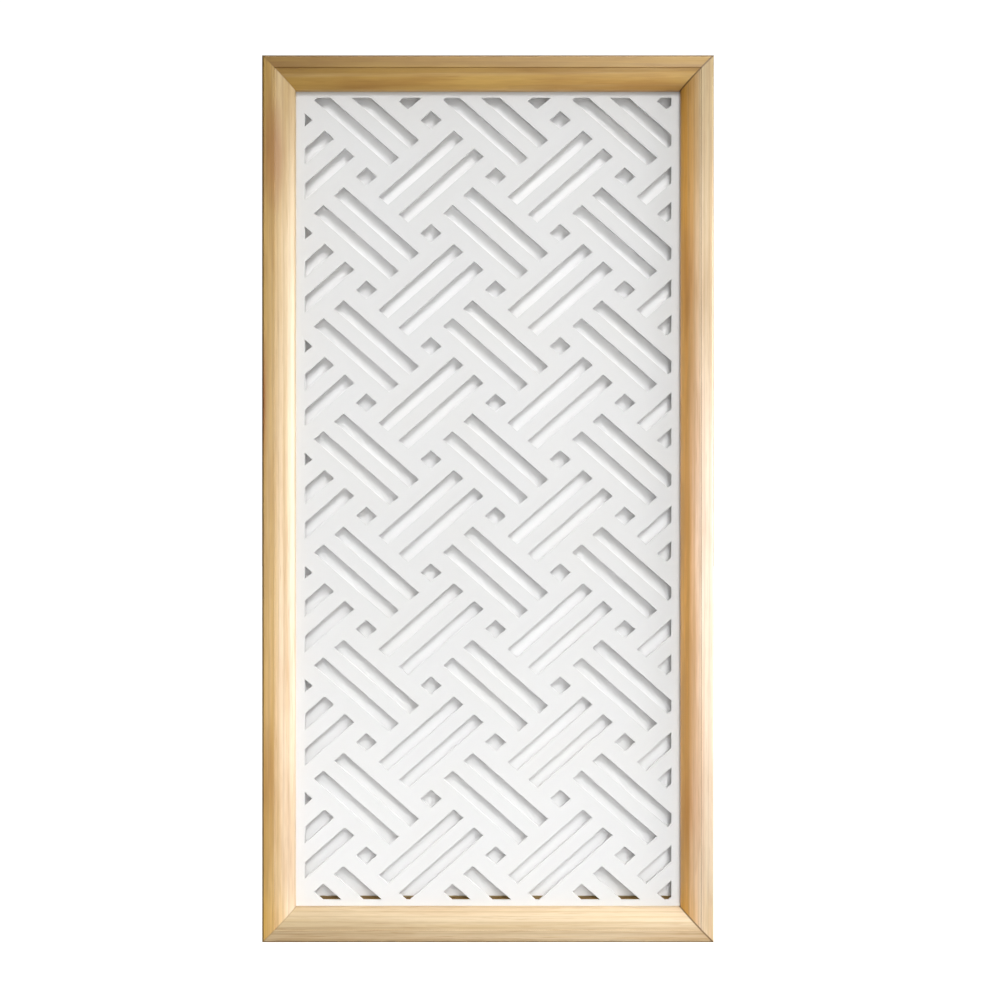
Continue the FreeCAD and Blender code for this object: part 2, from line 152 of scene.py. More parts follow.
class PineSettings(bpy.types.PropertyGroup):
    """Colours, grain and lacquer of the pine."""

    # On the frame, sapwood and heartwood are laid where highlights and shade fall, so they also carry
    # painted sheen and shade.
    sapwood: colour("Sapwood", "Pale wood along one side of a member", (0.77, 0.60, 0.40))
    heartwood: colour("Heartwood", "Golden wood along the other side", (0.60, 0.365, 0.085))
    ruddy: colour("Ruddy heartwood", "Redder heartwood of the right stile", (0.74, 0.365, 0.055))
    streak: colour("Streak", "Brown streaks along the grain", (0.40, 0.19, 0.034))
    stain: colour("Stain", "Orange-brown stains of the stiles", (0.40, 0.13, 0.006))
    late_wood: colour("Late wood", "Thin dark line at the end of each year's growth", (0.30, 0.145, 0.030))
    ring_spacing: length("Ring spacing", "Distance between growth rings", 0.0065)
    ring_waver: number("Ring waver", "How far the growth rings wander", 5)
    band_width: length("Band width", "Width of the warmer bands", 0.009)
    streak_width: length("Streak width", "Width of the brown streaks", 0.032)
    tick_width: length("Tick width", "Width of the short dark marks", 0.00104)
    fibre_width: length("Fibre width", "Width of the fibres", 0.0008)
    grain_stretch: share("Grain stretch", "Width of a grain mark as a share of its length", 0.022)
    streak_stretch: share("Streak stretch", "Width of a brown streak as a share of its length", 0.10)
    sap_waver: share("Sap waver", "How far the bands shift the edge of the sapwood", 0.25)
    heart_streaks: share("Streaks in heartwood", "Strength of the streaks in heartwood", 0.75)
    sap_streaks: share("Streaks in sapwood", "Strength of the streaks in sapwood", 0.3)
    line_strength: share("Late wood strength", "Strength of the late wood's lines", 0.25)
    tick_strength: share("Tick strength", "Strength of the short dark marks", 0.4)
    # Painted shade along the outer edge of each member.
    painted_rim_shade_width: length("Rim width", "Darkened strip along the outer edge", 0.0035)
    # Darkening along sharp edges: wear on the outer edges and painted shade in the creases.
    worn_edge: length("Worn edge", "Width of the darkened sharp edges", 0.0016)
    wear_and_shade_strength: share("Wear strength", "How far the sharp edges are darkened", 0.35)
    mitre_line: length("Mitre line", "Width of the dark line along a mitre", 0.0018)
    mitre_shade: share("Mitre shade", "Shade of that line beside the late wood", 0.4)
    left_mitres: share("Left mitres", "Strength of that line at the left of the panel", 0.15)
    right_mitres: share("Right mitres", "Strength of that line at the right of the panel", 0.85)
    worn_foot: length("Worn foot", "Height from the floor to which the lacquer has gone dull", 0.075)
    foot_sheen: share("Foot sheen", "Lacquer that is left at the foot", 0.15)
    top_sheen: share("Top sheen", "Lacquer that is left at the top", 0.25)
    lacquer_roughness: share("Lacquer roughness", "Roughness of the satin lacquer", 0.42)
    lacquer_index: number("Lacquer index", "Index of refraction of the lacquer", 1.95)
    gloss: share("Gloss", "Gloss of the wood under the lacquer", 0.4)
    bare_roughness: share("Bare roughness", "Roughness of the bare wood", 0.7)
    roughness_play: share("Roughness play", "How far the fibres change the roughness", 0.06)


class SheetSettings(bpy.types.PropertyGroup):
    """Finish of the lattice and of the sheet behind it."""

    edge_easing: length("Edge easing", "How far the edges of the slots are sanded back", 0.0003)
    lattice_paint: colour("Lattice paint", "Satin white of the lattice", (0.752, 0.752, 0.750))
    lattice_roughness: share("Lattice roughness", "Roughness of the lattice's paint", 0.5)
    backing_paint: colour("Backing paint", "White of the sheet behind the lattice", (0.91, 0.91, 0.91))
    backing_roughness: share("Backing roughness", "Roughness of the backing's paint", 0.6)
    cloud_tint: colour("Cloud tint", "Tint of the paint's warmer clouds", (1.0, 0.996, 0.985))
    paint_grain: length("Paint grain", "Size of the paint's fine unevenness", 0.0016)
    paint_cloud: length("Paint cloud", "Size of the paint's warmer clouds", 0.096)
    paint_gloss: share("Paint gloss", "Gloss of the paint", 0.3)
    paint_play: share("Paint play", "How far the fine unevenness changes the roughness", 0.05)
    fibreboard: colour("Fibreboard", "Bare back of the sheet", (0.37, 0.22, 0.115))
    screen_mesh: length("Screen mesh", "Pitch of the pressed mesh on the bare back", 0.0024)


class ScrewSettings(bpy.types.PropertyGroup):
    """Pan-head screws that hold the backing."""

    head_radius: length("Head radius", "Half of the head's diameter", 0.003)
    head_rim: length("Head rim", "Straight side of the head", 0.0006)
    head_height: length("Head height", "Height of the domed head", 0.0017)
    shank_radius: length("Shank radius", "Half of the shank's diameter", 0.00145)
    screw_length: length("Length", "Length under the head", 0.016)
    point_length: length("Point length", "Length of the point", 0.003)
    recess_length: length("Recess length", "Span of the cross recess", 0.0034)
    recess_width: length("Recess width", "Width of one arm of the recess", 0.0007)
    recess_depth: length("Recess depth", "Depth of the recess", 0.0012)
    round_steps: count("Round steps", "Steps round the screw", 40)
    dome_steps: count("Dome steps", "Steps from the rim of the head to its top", 8)


class StageSettings(bpy.types.PropertyGroup):
    """Camera, lamps and floor of the studio."""

    camera_distance: length("Camera distance", "From the camera to the front of the panel", 1.540)
    camera_across: length("Camera across", "How far the camera stands right of the middle", 0.016)
    camera_up: length("Camera height", "Height of the camera above the floor", 0.5874)
    lens: FloatProperty(name="Lens", description="Focal length in millimetres", default=41.83, unit="CAMERA")
    key_power: power("Key power", "Large softbox in front, above and to the right", 11.8)
    low_power: power("Low power", "Narrow softbox in front, low and to the right", 6)
    fill_power: power("Fill power", "Softbox in front, to the left", 0.6)
    side_power: power("Side power", "Strip to the right, nearly in line with the panel", 24)
    top_power: power("Top power", "Strip overhead, nearly in line with the panel", 9)
    ambient: number("Ambient", "Light from all round", 0.45)
    backdrop: number("Backdrop", "Light of the white backdrop", 1.06)
    backdrop_fade: share("Backdrop fade", "How far round to the back its full light starts", 0.8)
    floor_glow: number("Floor glow", "Light of the floor itself", 0.86)
    floor_radius: length("Floor radius", "Size of the floor", 9)


class PanelSettings(bpy.types.PropertyGroup):
    """All that a user would change on the panel."""

    moulding: PointerProperty(type=MouldingSettings, name="Moulding", description="Section of the frame")
    pine: PointerProperty(type=PineSettings, name="Pine", description="Wood of the frame")
    sheets: PointerProperty(type=SheetSettings, name="Sheets", description="Lattice and backing")
    screw: PointerProperty(type=ScrewSettings, name="Screw", description="Screws of the backing")
    stage: PointerProperty(type=StageSettings, name="Stage", description="Camera, lamps and floor")


class Shade(NamedTuple):
    """Painted light and shade: tones spread evenly from one place on an axis to another, and held beyond
    them.
    """

    axis: str
    start: float
    end: float
    tones: tuple
    warmth: float = 0.8


class Sap(NamedTuple):
    """Where a heartwood turns to sapwood along an axis. On the frame the pale side is laid where highlights
    fall, as painted sheen.
    """

    axis: str
    heart_side: float
    sap_side: float
    heartwood: tuple


class Stain(NamedTuple):
    """An oval stain: its middle, its reach along each axis, and its strength. One on the left stile is
    painted shade along its outer edge.
    """

    middle: tuple
    reach: tuple
    strength: float


class Member(NamedTuple):
    """One length of the frame: its mesh, how it is turned and placed, and the wood it is cut from."""

    piece: bpy.types.Object
    along: str
    angle: float
    place: tuple
    grain_shift: tuple
    sap: Sap
    shades: tuple
    stains: tuple = ()


class Lamp(NamedTuple):
    """A softbox: where it stands, where it points, its width and height, and the spread of its light."""

    name: str
    place: tuple
    target: tuple
    size: tuple
    spread: float = HALF_TURN


def deselect():
    """Leaves edit mode and lets go of everything."""
    if bpy.context.mode != "OBJECT":
        bpy.ops.object.mode_set(mode="OBJECT")
    bpy.ops.object.select_all(action="DESELECT")


def take(piece):
    """Makes a piece the only one selected."""
    deselect()
    piece.select_set(True)
    bpy.context.view_layer.objects.active = piece


def name_piece(name):
    """Names the piece that was made last, and its mesh."""
    piece = bpy.context.active_object
    piece.name = name
    piece.data.name = name
    return piece


def choose(piece, kind, test):
    """Selects, in edit mode, the edges or faces that pass a test, and nothing else."""
    bpy.ops.mesh.select_mode(type=kind)
    bpy.ops.mesh.select_all(action="DESELECT")
    mesh = bmesh.from_edit_mesh(piece.data)
    for element in {"EDGE": mesh.edges, "FACE": mesh.faces}[kind]:
        if test(element):
            element.select_set(True)
    mesh.select_flush_mode()
    bmesh.update_edit_mesh(piece.data)


def is_arris(edge):
    """Whether two faces meet at an edge in a sharp outer corner."""
    return len(edge.link_faces) == 2 and edge.calc_face_angle_signed() > SHARP_ANGLE


def faces_front(face):
    """Whether a face looks to the front."""
    return face.normal.y < -math.cos(SHARP_ANGLE)


def ease_edges(piece, width, segments, test=is_arris):
    """Sands the edges that pass a test back to a small rounding."""
    bpy.ops.object.mode_set(mode="EDIT")
    choose(piece, "EDGE", test)
    bpy.ops.mesh.bevel(offset=width, segments=segments, affect="EDGES", clamp_overlap=True)
    bpy.ops.object.mode_set(mode="OBJECT")


def block(name, low, high):
    """A box between two corners, as the start of a piece."""
    deselect()
    bpy.ops.mesh.primitive_cube_add(size=1, location=(low + high) / 2)
    piece = name_piece(name)
    piece.scale = high - low
    bpy.ops.object.transform_apply(location=True, rotation=True, scale=True)
    return piece


def copy_piece(piece, name):
    """A copy of a piece with its own mesh."""
    take(piece)
    bpy.ops.object.duplicate()
    return name_piece(name)


def merged_copy(node, name):
    """A copy of a CAD node with its triangles joined up into whole faces."""
    piece = bpy.data.objects.new(name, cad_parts[node].data.copy())
    bpy.context.scene.collection.objects.link(piece)
    take(piece)
    bpy.ops.mesh.customdata_custom_splitnormals_clear()
    bpy.ops.object.mode_set(mode="EDIT")
    bpy.ops.mesh.select_all(action="SELECT")
    bpy.ops.mesh.remove_doubles(threshold=TOUCH)
    bpy.ops.mesh.dissolve_limited(angle_limit=FLAT_ANGLE)
    bpy.ops.object.mode_set(mode="OBJECT")
    return piece


def turn_and_move(piece, angle, place):
    """Turns a piece about its front-to-back axis, moves it, and leaves its place in its mesh."""
    take(piece)
    piece.rotation_euler.y = angle
    piece.location = place
    bpy.ops.object.transform_apply(location=True, rotation=True, scale=True)


def cut(piece, cutter):
    """Takes the solid of a cutter out of a piece, and welds what the cut leaves almost touching."""
    take(piece)
    bpy.ops.object.modifier_add(type="BOOLEAN")
    modifier = piece.modifiers[-1]
    modifier.operation = "DIFFERENCE"
    modifier.solver = "EXACT"
    modifier.object = cutter
    bpy.ops.object.modifier_apply(modifier=modifier.name)
    bpy.ops.object.mode_set(mode="EDIT")
    bpy.ops.mesh.select_all(action="SELECT")
    bpy.ops.mesh.remove_doubles(threshold=WELD)
    bpy.ops.mesh.dissolve_degenerate(threshold=WELD)
    bpy.ops.object.mode_set(mode="OBJECT")


def remove(piece):
    """Deletes a helper and its mesh."""
    mesh = piece.data
    bpy.data.objects.remove(piece)
    bpy.data.meshes.remove(mesh)


def finish_piece(piece, slot, *nodes):
    """Shades a piece, sets it on the panel's one body and lets it stand for its CAD nodes."""
    take(piece)
    bpy.ops.object.shade_smooth_by_angle(angle=SMOOTH_ANGLE)
    bpy.ops.object.modifier_add(type="WEIGHTED_NORMAL")
    flatten = piece.modifiers[-1]
    flatten.keep_sharp = True
    bpy.ops.object.modifier_apply(modifier=flatten.name)
    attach(piece, BODY)
    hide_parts(*nodes)


class Pen:
    """Draws an outline in the X-Y plane, in edit mode, with a vertex that is extruded and spun."""

    def __init__(self, x, y):
        deselect()
        bpy.ops.mesh.primitive_plane_add(location=(0, 0, 0))
        bpy.ops.object.mode_set(mode="EDIT")
        bpy.ops.mesh.select_mode(type="VERT")
        bpy.ops.mesh.select_all(action="SELECT")
        bpy.ops.mesh.merge(type="CENTER")
        self.point = Vector((x, y, 0))
        bpy.ops.transform.translate(value=self.point)

    def line(self, x, y):
        """Extrudes a straight run to a point."""
        end = Vector((x, y, 0))
        bpy.ops.mesh.extrude_vertices_move(TRANSFORM_OT_translate={"value": end - self.point})
        self.point = end

    def arc(self, centre, angle, steps):
        """Spins an arc about a centre, anticlockwise as seen from above the plane."""
        middle = Vector((*centre, 0))
        bpy.ops.mesh.spin(steps=steps, angle=angle, center=middle, axis=(0, 0, -1))
        self.point = middle + Matrix.Rotation(angle, 3, "Z") @ (self.point - middle)

    def join_ends(self):
        """Merges the last point with the first."""
        bpy.ops.mesh.select_all(action="SELECT")
        bpy.ops.mesh.remove_doubles(threshold=TOUCH)


class Finish:
    """A material's node tree, with short calls for the nodes that the finishes share."""

    def __init__(self, name):
        self.material = bpy.data.materials.new(name)
        self.material.use_nodes = True
        self.tree = self.material.node_tree
        self.shader = self.tree.nodes["Principled BSDF"]
        self.place = self.add("ShaderNodeTexCoord").outputs["Object"]

    def add(self, kind, settings=None, **inputs):
        """Adds a node. An input is a plain value or the socket that feeds it."""
        node = self.tree.nodes.new(kind)
        for name, value in (settings or {}).items():
            setattr(node, name, value)
        for name, value in inputs.items():
            self.feed(node.inputs[name.replace("_", " ")], value)
        return node

    def feed(self, socket, value):
        """Sets a socket to a value, or links it to another socket."""
        if isinstance(value, bpy.types.NodeSocket):
            self.tree.links.new(value, socket)
        else:
            socket.default_value = value

    def set(self, **inputs):
        """Sets or links sockets of the surface shader."""
        for name, value in inputs.items():
            self.feed(self.shader.inputs[name.replace("_", " ")], value)

    def at(self, axis):
        """Where a point lies along an axis."""
        return self.add("ShaderNodeSeparateXYZ", Vector=self.place).outputs[axis]

    def mapped(self, scale, turn=(0, 0, 0), shift=(0, 0, 0)):
        """Object coordinates, scaled, turned and shifted."""
        node = self.add("ShaderNodeMapping", Vector=self.place, Scale=scale, Rotation=turn, Location=shift)
        return node.outputs["Vector"]

    def noise(self, vector, size, detail=2.0, roughness=0.5):
        """Soft noise with features of about a given size."""
        inputs = {"Scale": 1 / size, "Detail": detail, "Roughness": roughness}
        return self.add("ShaderNodeTexNoise", Vector=vector, **inputs).outputs["Fac"]

    def spread(self, value, low, high, start=0.0, end=1.0):
        """Maps a stretch of values onto another, held at its ends."""
        limits = {"From_Min": low, "From_Max": high, "To_Min": start, "To_Max": end}
        return self.add("ShaderNodeMapRange", Value=value, **limits).outputs["Result"]

    def math(self, operation, first, second=0.0):
        """A sum, product or other operation on numbers."""
        node = self.add("ShaderNodeMath", {"operation": operation})
        self.feed(node.inputs[0], first)
        self.feed(node.inputs[1], second)
        return node.outputs["Value"]

    def mix(self, factor, first, second, blend="MIX"):
        """Mixes two colours."""
        node = self.add("ShaderNodeMix", {"data_type": "RGBA", "blend_type": blend})
        for index, value in ((0, factor), (6, first), (7, second)):
            self.feed(node.inputs[index], (*value, 1) if isinstance(value, (Color, tuple)) else value)
        return node.outputs[2]

    def edges(self, radius):
        """One along the sharp edges of a piece, nothing on its flat faces."""
        rounded = self.add("ShaderNodeBevel", {"samples": 4}, Radius=radius).outputs["Normal"]
        plain = self.add("ShaderNodeNewGeometry").outputs["Normal"]
        node = self.add("ShaderNodeVectorMath", {"operation": "DOT_PRODUCT"})
        self.feed(node.inputs[0], rounded)
        self.feed(node.inputs[1], plain)
        return self.spread(node.outputs["Value"], FLAT_MATCH, EDGE_MATCH)

    def tones(self, shade):
        """The tones of a painted shade, as a colour."""
        ramp = self.add("ShaderNodeValToRGB", Fac=self.spread(self.at(shade.axis), shade.start, shade.end))
        stops = ramp.color_ramp
        stops.interpolation = "EASE"
        last = len(shade.tones) - 1
        for index in range(1, last):
            stops.elements.new(index / last)
        for stop, tone in zip(stops.elements, shade.tones):
            green, blue = tone ** (1 + GREEN_SHARE * shade.warmth), tone ** (1 + shade.warmth)
            stop.color = (tone, green, blue, 1)
        return ramp.outputs["Color"]

    def shaded(self, body, shades):
        """A colour under some painted shades."""
        for shade in shades:
            body = self.mix(1.0, body, self.tones(shade), "MULTIPLY")
        return body

    def mitres(self, width):
        """One along the mitres of the frame's corners, nothing away from them."""
        insets = []
        for index, axis in ((0, "X"), (2, "Z")):
            off_middle = self.math("ABSOLUTE", self.math("SUBTRACT", self.at(axis), PANEL_MIDDLE[index]))
            insets.append(self.math("SUBTRACT", PANEL_SIZE[index] / 2, off_middle))
        gap = self.math("ABSOLUTE", self.math("SUBTRACT", *insets))
        return self.spread(gap, width / 2, width, 1, 0)

    def oval(self, middle, reach, ragged):
        """One in the middle of an oval, fading to nothing at its ragged rim."""
        scale = tuple(1 / part for part in reach)
        shift = tuple(-part * size for part, size in zip(middle, scale))
        inside = self.mapped(scale, shift=shift)
        away = self.add("ShaderNodeVectorMath", {"operation": "LENGTH"}, Vector=inside).outputs["Value"]
        # The ragged noise is a half on average, so the rim lies about one reach out.
        return self.spread(self.math("ADD", away, ragged), 1.5, 0.7)

    def bump(self, height, depth, strength):
        """Raises the surface a little by a height."""
        node = self.add("ShaderNodeBump", Height=height, Distance=depth, Strength=strength)
        self.set(Normal=node.outputs["Normal"])


class Pine(Finish):
    """Pine with its grain along one axis."""

    def __init__(self, name, along, grain_shift, settings):
        super().__init__(name)
        self.settings = settings
        turn = (0, SQUARE_TURN, 0) if along == "Z" else (0, 0, 0)
        grain, patches = (
            self.mapped(tuple(stretch if axis == along else 1 for axis in "XYZ"), turn, grain_shift)
            for stretch in (settings.grain_stretch, settings.streak_stretch)
        )
        rings = self.add(
            "ShaderNodeTexWave",
            {"wave_type": "RINGS", "rings_direction": "X", "wave_profile": "SAW"},
            Vector=grain,
            Scale=FULL_TURN / (WAVE_RATE * settings.ring_spacing),
            Distortion=settings.ring_waver,
            Detail=3.0,
            Detail_Scale=0.6,
        )
        self.late_lines = self.spread(rings.outputs["Fac"], 0.6, 1.0)
        self.bands = self.noise(grain, settings.band_width, detail=3)
        self.streaks = self.noise(patches, settings.streak_width, detail=4, roughness=0.6)
        self.ticks = self.noise(grain, settings.tick_width)
        self.fibres = self.noise(grain, settings.fibre_width, detail=3, roughness=0.7)

    def wood(self, sap, stains):
        """Heartwood turning to sapwood, with its streaks, stains, growth rings and fibres."""
        settings = self.settings
        fade = self.spread(self.at(sap.axis), sap.heart_side, sap.sap_side)
        waver = self.spread(self.bands, *NOISE_RANGE, -settings.sap_waver, settings.sap_waver)
        pale = self.math("ADD", fade, waver)
        body = self.mix(self.spread(pale, 0, 1), sap.heartwood, settings.sapwood)
        strength = self.spread(pale, 0, 1, settings.heart_streaks, settings.sap_streaks)
        streaks = self.math("MULTIPLY", self.spread(self.streaks, 0.45, 0.65), strength)
        body = self.mix(streaks, body, settings.streak)
        for stain in stains:
            oval = self.oval(stain.middle, stain.reach, self.bands)
            body = self.mix(self.math("MULTIPLY", oval, stain.strength), body, settings.stain)
        lines = self.math("MULTIPLY", self.late_lines, settings.line_strength)
        body = self.mix(lines, body, settings.late_wood)
        ticks = self.spread(self.ticks, 0.58, 0.72, 0, settings.tick_strength)
        body = self.mix(ticks, body, settings.streak)
        return self.mix(1.0, body, self.spread(self.fibres, *NOISE_RANGE, 0.92, 1.05), "MULTIPLY")

    def lined_mitres(self, body):
        """A colour with a dark line along the mitres, stronger at the right."""
        settings = self.settings
        sides = PANEL_LOW.x, PANEL_HIGH.x
        strength = self.spread(self.at("X"), *sides, settings.left_mitres, settings.right_mitres)
        line = self.math("MULTIPLY", self.mitres(settings.mitre_line), strength)
        return self.mix(line, body, tuple(settings.mitre_shade * part for part in settings.late_wood))

    def worn_and_shaded_edges(self, body):
        """A colour that is darker along the sharp edges: wear on the outer edges, painted shade in the
        creases.
        """
        wear = self.math("MULTIPLY", self.edges(self.settings.worn_edge), self.settings.wear_and_shade_strength)
        return self.mix(wear, body, self.settings.late_wood)

    def lacquer(self):
        """Satin lacquer over the wood, dull in the top third of the panel and at its foot."""
        settings = self.settings
        height = self.at("Z")
        foot = PANEL_LOW.z + settings.worn_foot
        top = self.spread(height, PANEL_HIGH.z - PANEL_SIZE.z / 3, PANEL_HIGH.z, 1, settings.top_sheen)
        bottom = self.spread(height, foot - settings.worn_foot / 2, foot, settings.foot_sheen, 1)
        self.set(Coat_Weight=self.math("MINIMUM", top, bottom), Specular_IOR_Level=settings.gloss)
        self.set(Coat_Roughness=settings.lacquer_roughness, Coat_IOR=settings.lacquer_index)

    def surface(self, body, roughness):
        """Gives the wood its colour, its roughness and the relief of its grain."""
        play = self.settings.roughness_play
        rough = self.spread(self.fibres, 0.25, 0.75, roughness - play, roughness + play)
        self.set(Base_Color=body, Roughness=rough)
        self.bump(self.math("ADD", self.fibres, self.late_lines), depth=0.00012, strength=0.2)


def lacquered_pine(member, settings):
    """Pine of one length of the frame, with its painted light and shade."""
    finish = Pine(f"pine_{member.piece.name}", member.along, member.grain_shift, settings)
    body = finish.shaded(finish.wood(member.sap, member.stains), member.shades)
    finish.lacquer()
    finish.surface(finish.worn_and_shaded_edges(finish.lined_mitres(body)), settings.lacquer_roughness)
    return finish.material


def bare_pine(name, along, grain_shift, sap, shades, settings):
    """Pine of one batten, with its painted shade."""
    finish = Pine(name, along, grain_shift, settings)
    body = finish.shaded(finish.wood(sap, ()), shades)
    finish.surface(finish.worn_and_shaded_edges(body), settings.bare_roughness)
    return finish.material


def white_paint(name, paint, roughness, shades, settings):
    """Satin white paint with a fine unevenness and faintly warmer clouds, under the painted light and shade
    it is given.
    """
    finish = Finish(name)
    fine = finish.noise(finish.place, settings.paint_grain)
    clouds = finish.noise(finish.place, settings.paint_cloud)
    warm = tuple(part * tint for part, tint in zip(paint, settings.cloud_tint))
    body = finish.mix(finish.spread(clouds, 0.4, 0.7), paint, warm)
    play = settings.paint_play
    finish.set(
        Base_Color=finish.shaded(body, shades),
        Roughness=finish.spread(fine, *NOISE_RANGE, roughness - play, roughness + play),
        Specular_IOR_Level=settings.paint_gloss,
    )
    finish.bump(fine, depth=0.00006, strength=0.3)
    return finish.material


def bare_fibreboard(settings):
    """Brown fibreboard with the pressed mesh of its rough side."""
    finish = Finish("bare_fibreboard")
    threads = [
        finish.add(
            "ShaderNodeTexWave",
            {"wave_type": "BANDS", "wave_profile": "SIN", "bands_direction": axis},
            Vector=finish.place,
            Scale=FULL_TURN / (WAVE_RATE * settings.screen_mesh),
        ).outputs["Fac"]
        for axis in "XZ"
    ]
    mesh = finish.math("MULTIPLY", *threads)
    fibres = finish.noise(finish.place, size=0.0012, detail=5, roughness=0.7)
    clouds = finish.noise(finish.place, size=0.025, detail=4)
    dark, pale = (tuple(tone * part for part in settings.fibreboard) for tone in (0.8, 1.1))
    body = finish.mix(finish.spread(clouds, *NOISE_RANGE, 0.35, 0.75), dark, pale)
    body = finish.mix(finish.spread(fibres, 0.5, 0.72, 0, 0.6), body, dark)
    body = finish.mix(finish.spread(mesh, 0.2, 0.8, 0.25, 0), body, dark)
    finish.set(Base_Color=body, Roughness=finish.spread(fibres, *NOISE_RANGE, 0.68, 0.85))
    finish.bump(finish.math("ADD", mesh, fibres), depth=0.0003, strength=0.6)
    return finish.material


def pressed_beech():
    """Pressed beech with its short dark flecks."""
    dark, pale, brown = (0.52, 0.33, 0.19), (0.62, 0.42, 0.26), (0.27, 0.14, 0.07)
    finish = Finish("pressed_beech")
    flecks = finish.noise(finish.mapped(scale=(1, 3, 0.35)), size=0.0012)
    clouds = finish.noise(finish.place, size=0.012, detail=3)
    body = finish.mix(finish.spread(clouds, 0.35, 0.65), dark, pale)
    body = finish.mix(finish.spread(flecks, 0.58, 0.7, 0, 0.6), body, brown)
    finish.set(Base_Color=body, Roughness=finish.spread(flecks, *NOISE_RANGE, 0.55, 0.7))
    finish.bump(flecks, depth=0.0001, strength=0.4)
    return finish.material


def zinc_plate():
    """Bright zinc plate with a faint uneven tint and fine scratches."""
    bluish, warm = (0.62, 0.63, 0.66), (0.74, 0.73, 0.70)
    finish = Finish("zinc_plate")
    clouds = finish.noise(finish.place, size=0.002, detail=3)
    scratches = finish.noise(finish.mapped(scale=(1, 1, 12)), size=0.0006)
    body = finish.mix(finish.spread(clouds, *NOISE_RANGE), bluish, warm)
    rough = finish.spread(scratches, *NOISE_RANGE, 0.22, 0.40)
    finish.set(Base_Color=body, Metallic=0.4, Roughness=rough)
    finish.bump(scratches, depth=0.00003, strength=0.3)
    return finish.material


def dress(piece, *materials):
    """Gives a piece its materials."""
    piece.data.materials.clear()
    for material in materials:
        piece.data.materials.append(material)


def draw_section(sizes):
    """The moulding's section: outer edge, land, curve, lip and the two rebates behind them."""
    edge = sizes.outer_edge_radius
    lattice_depth = LATTICE_LOW.y - PANEL_LOW.y
    backing_depth = BACKING_LOW.y - PANEL_LOW.y
    depth = PANEL_SIZE.y
    rebate_wall = sizes.width - sizes.rebate_width
    backing_wall = rebate_wall - sizes.backing_rebate_width
    start = Vector((sizes.land_width, sizes.land_height))
    end = Vector((sizes.width, sizes.sight_depth))
    chord = end - start
    reach = math.sqrt(sizes.curve_radius**2 - (chord.length / 2) ** 2)
    centre = (start + end) / 2 + Vector((-chord.y, chord.x)).normalized() * reach
    pen = Pen(0, edge)
    pen.arc((edge, edge), SQUARE_TURN, sizes.edge_steps)
    pen.line(sizes.land_width, 0)
    pen.line(*start)
    pen.arc(centre, 2 * math.asin(chord.length / 2 / sizes.curve_radius), sizes.curve_steps)
    for corner in (
        (sizes.width, lattice_depth),
        (rebate_wall, lattice_depth),
        (rebate_wall, backing_depth),
        (backing_wall, backing_depth),
        (backing_wall, depth),
        (0, depth),
        (0, edge),
    ):
        pen.line(*corner)
    pen.join_ends()
    bpy.ops.mesh.edge_face_add()


def model_moulding(name, run, sizes):
    """One length of moulding about its own middle, eased along its edges and mitred at both ends."""
    draw_section(sizes)
    bpy.ops.mesh.extrude_region_move(TRANSFORM_OT_translate={"value": (0, 0, run)})
    bpy.ops.mesh.select_all(action="SELECT")
    bpy.ops.transform.translate(value=(0, 0, -run / 2))
    bpy.ops.mesh.normals_make_consistent(inside=False)
    bpy.ops.object.mode_set(mode="OBJECT")
    piece = name_piece(name)

    def runs_along(edge):
        return is_arris(edge) and abs(edge.verts[0].co.z - edge.verts[1].co.z) > run / 2

    def at_mitre(edge):
        return is_arris(edge) and all(abs(v.co.x + abs(v.co.z) - run / 2) < TOUCH for v in edge.verts)

    ease_edges(piece, sizes.arris_easing, 3, runs_along)
    bpy.ops.object.mode_set(mode="EDIT")
    for end in (-1, 1):
        bpy.ops.mesh.select_all(action="SELECT")
        bpy.ops.mesh.bisect(
            plane_co=(0, 0, end * run / 2), plane_no=(1, 0, end), use_fill=True, clear_outer=True
        )
    bpy.ops.object.mode_set(mode="OBJECT")
    ease_edges(piece, sizes.mitre_easing, 2, at_mitre)
    return piece


def joinery_cutter():
    """All the biscuits, a little enlarged, and the screws, as one solid that cuts their slots and holes."""
    room = 1.03
    cutters = [merged_copy("backing_screws", "screw_cutter")]
    for up in ("bottom", "top"):
        for side in ("left", "right"):
            node = f"biscuit_{up}_{side}"
            cutter = merged_copy(node, f"{node}_cutter")
            low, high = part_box(node)
            middle = (low + high) / 2
            enlarge = Matrix.Translation(middle) @ Matrix.Scale(room, 4) @ Matrix.Translation(-middle)
            cutter.data.transform(enlarge)
            cutters.append(cutter)
    deselect()
    for cutter in cutters:
        cutter.select_set(True)
    bpy.context.view_layer.objects.active = cutters[0]
    bpy.ops.object.join()
    return cutters[0]


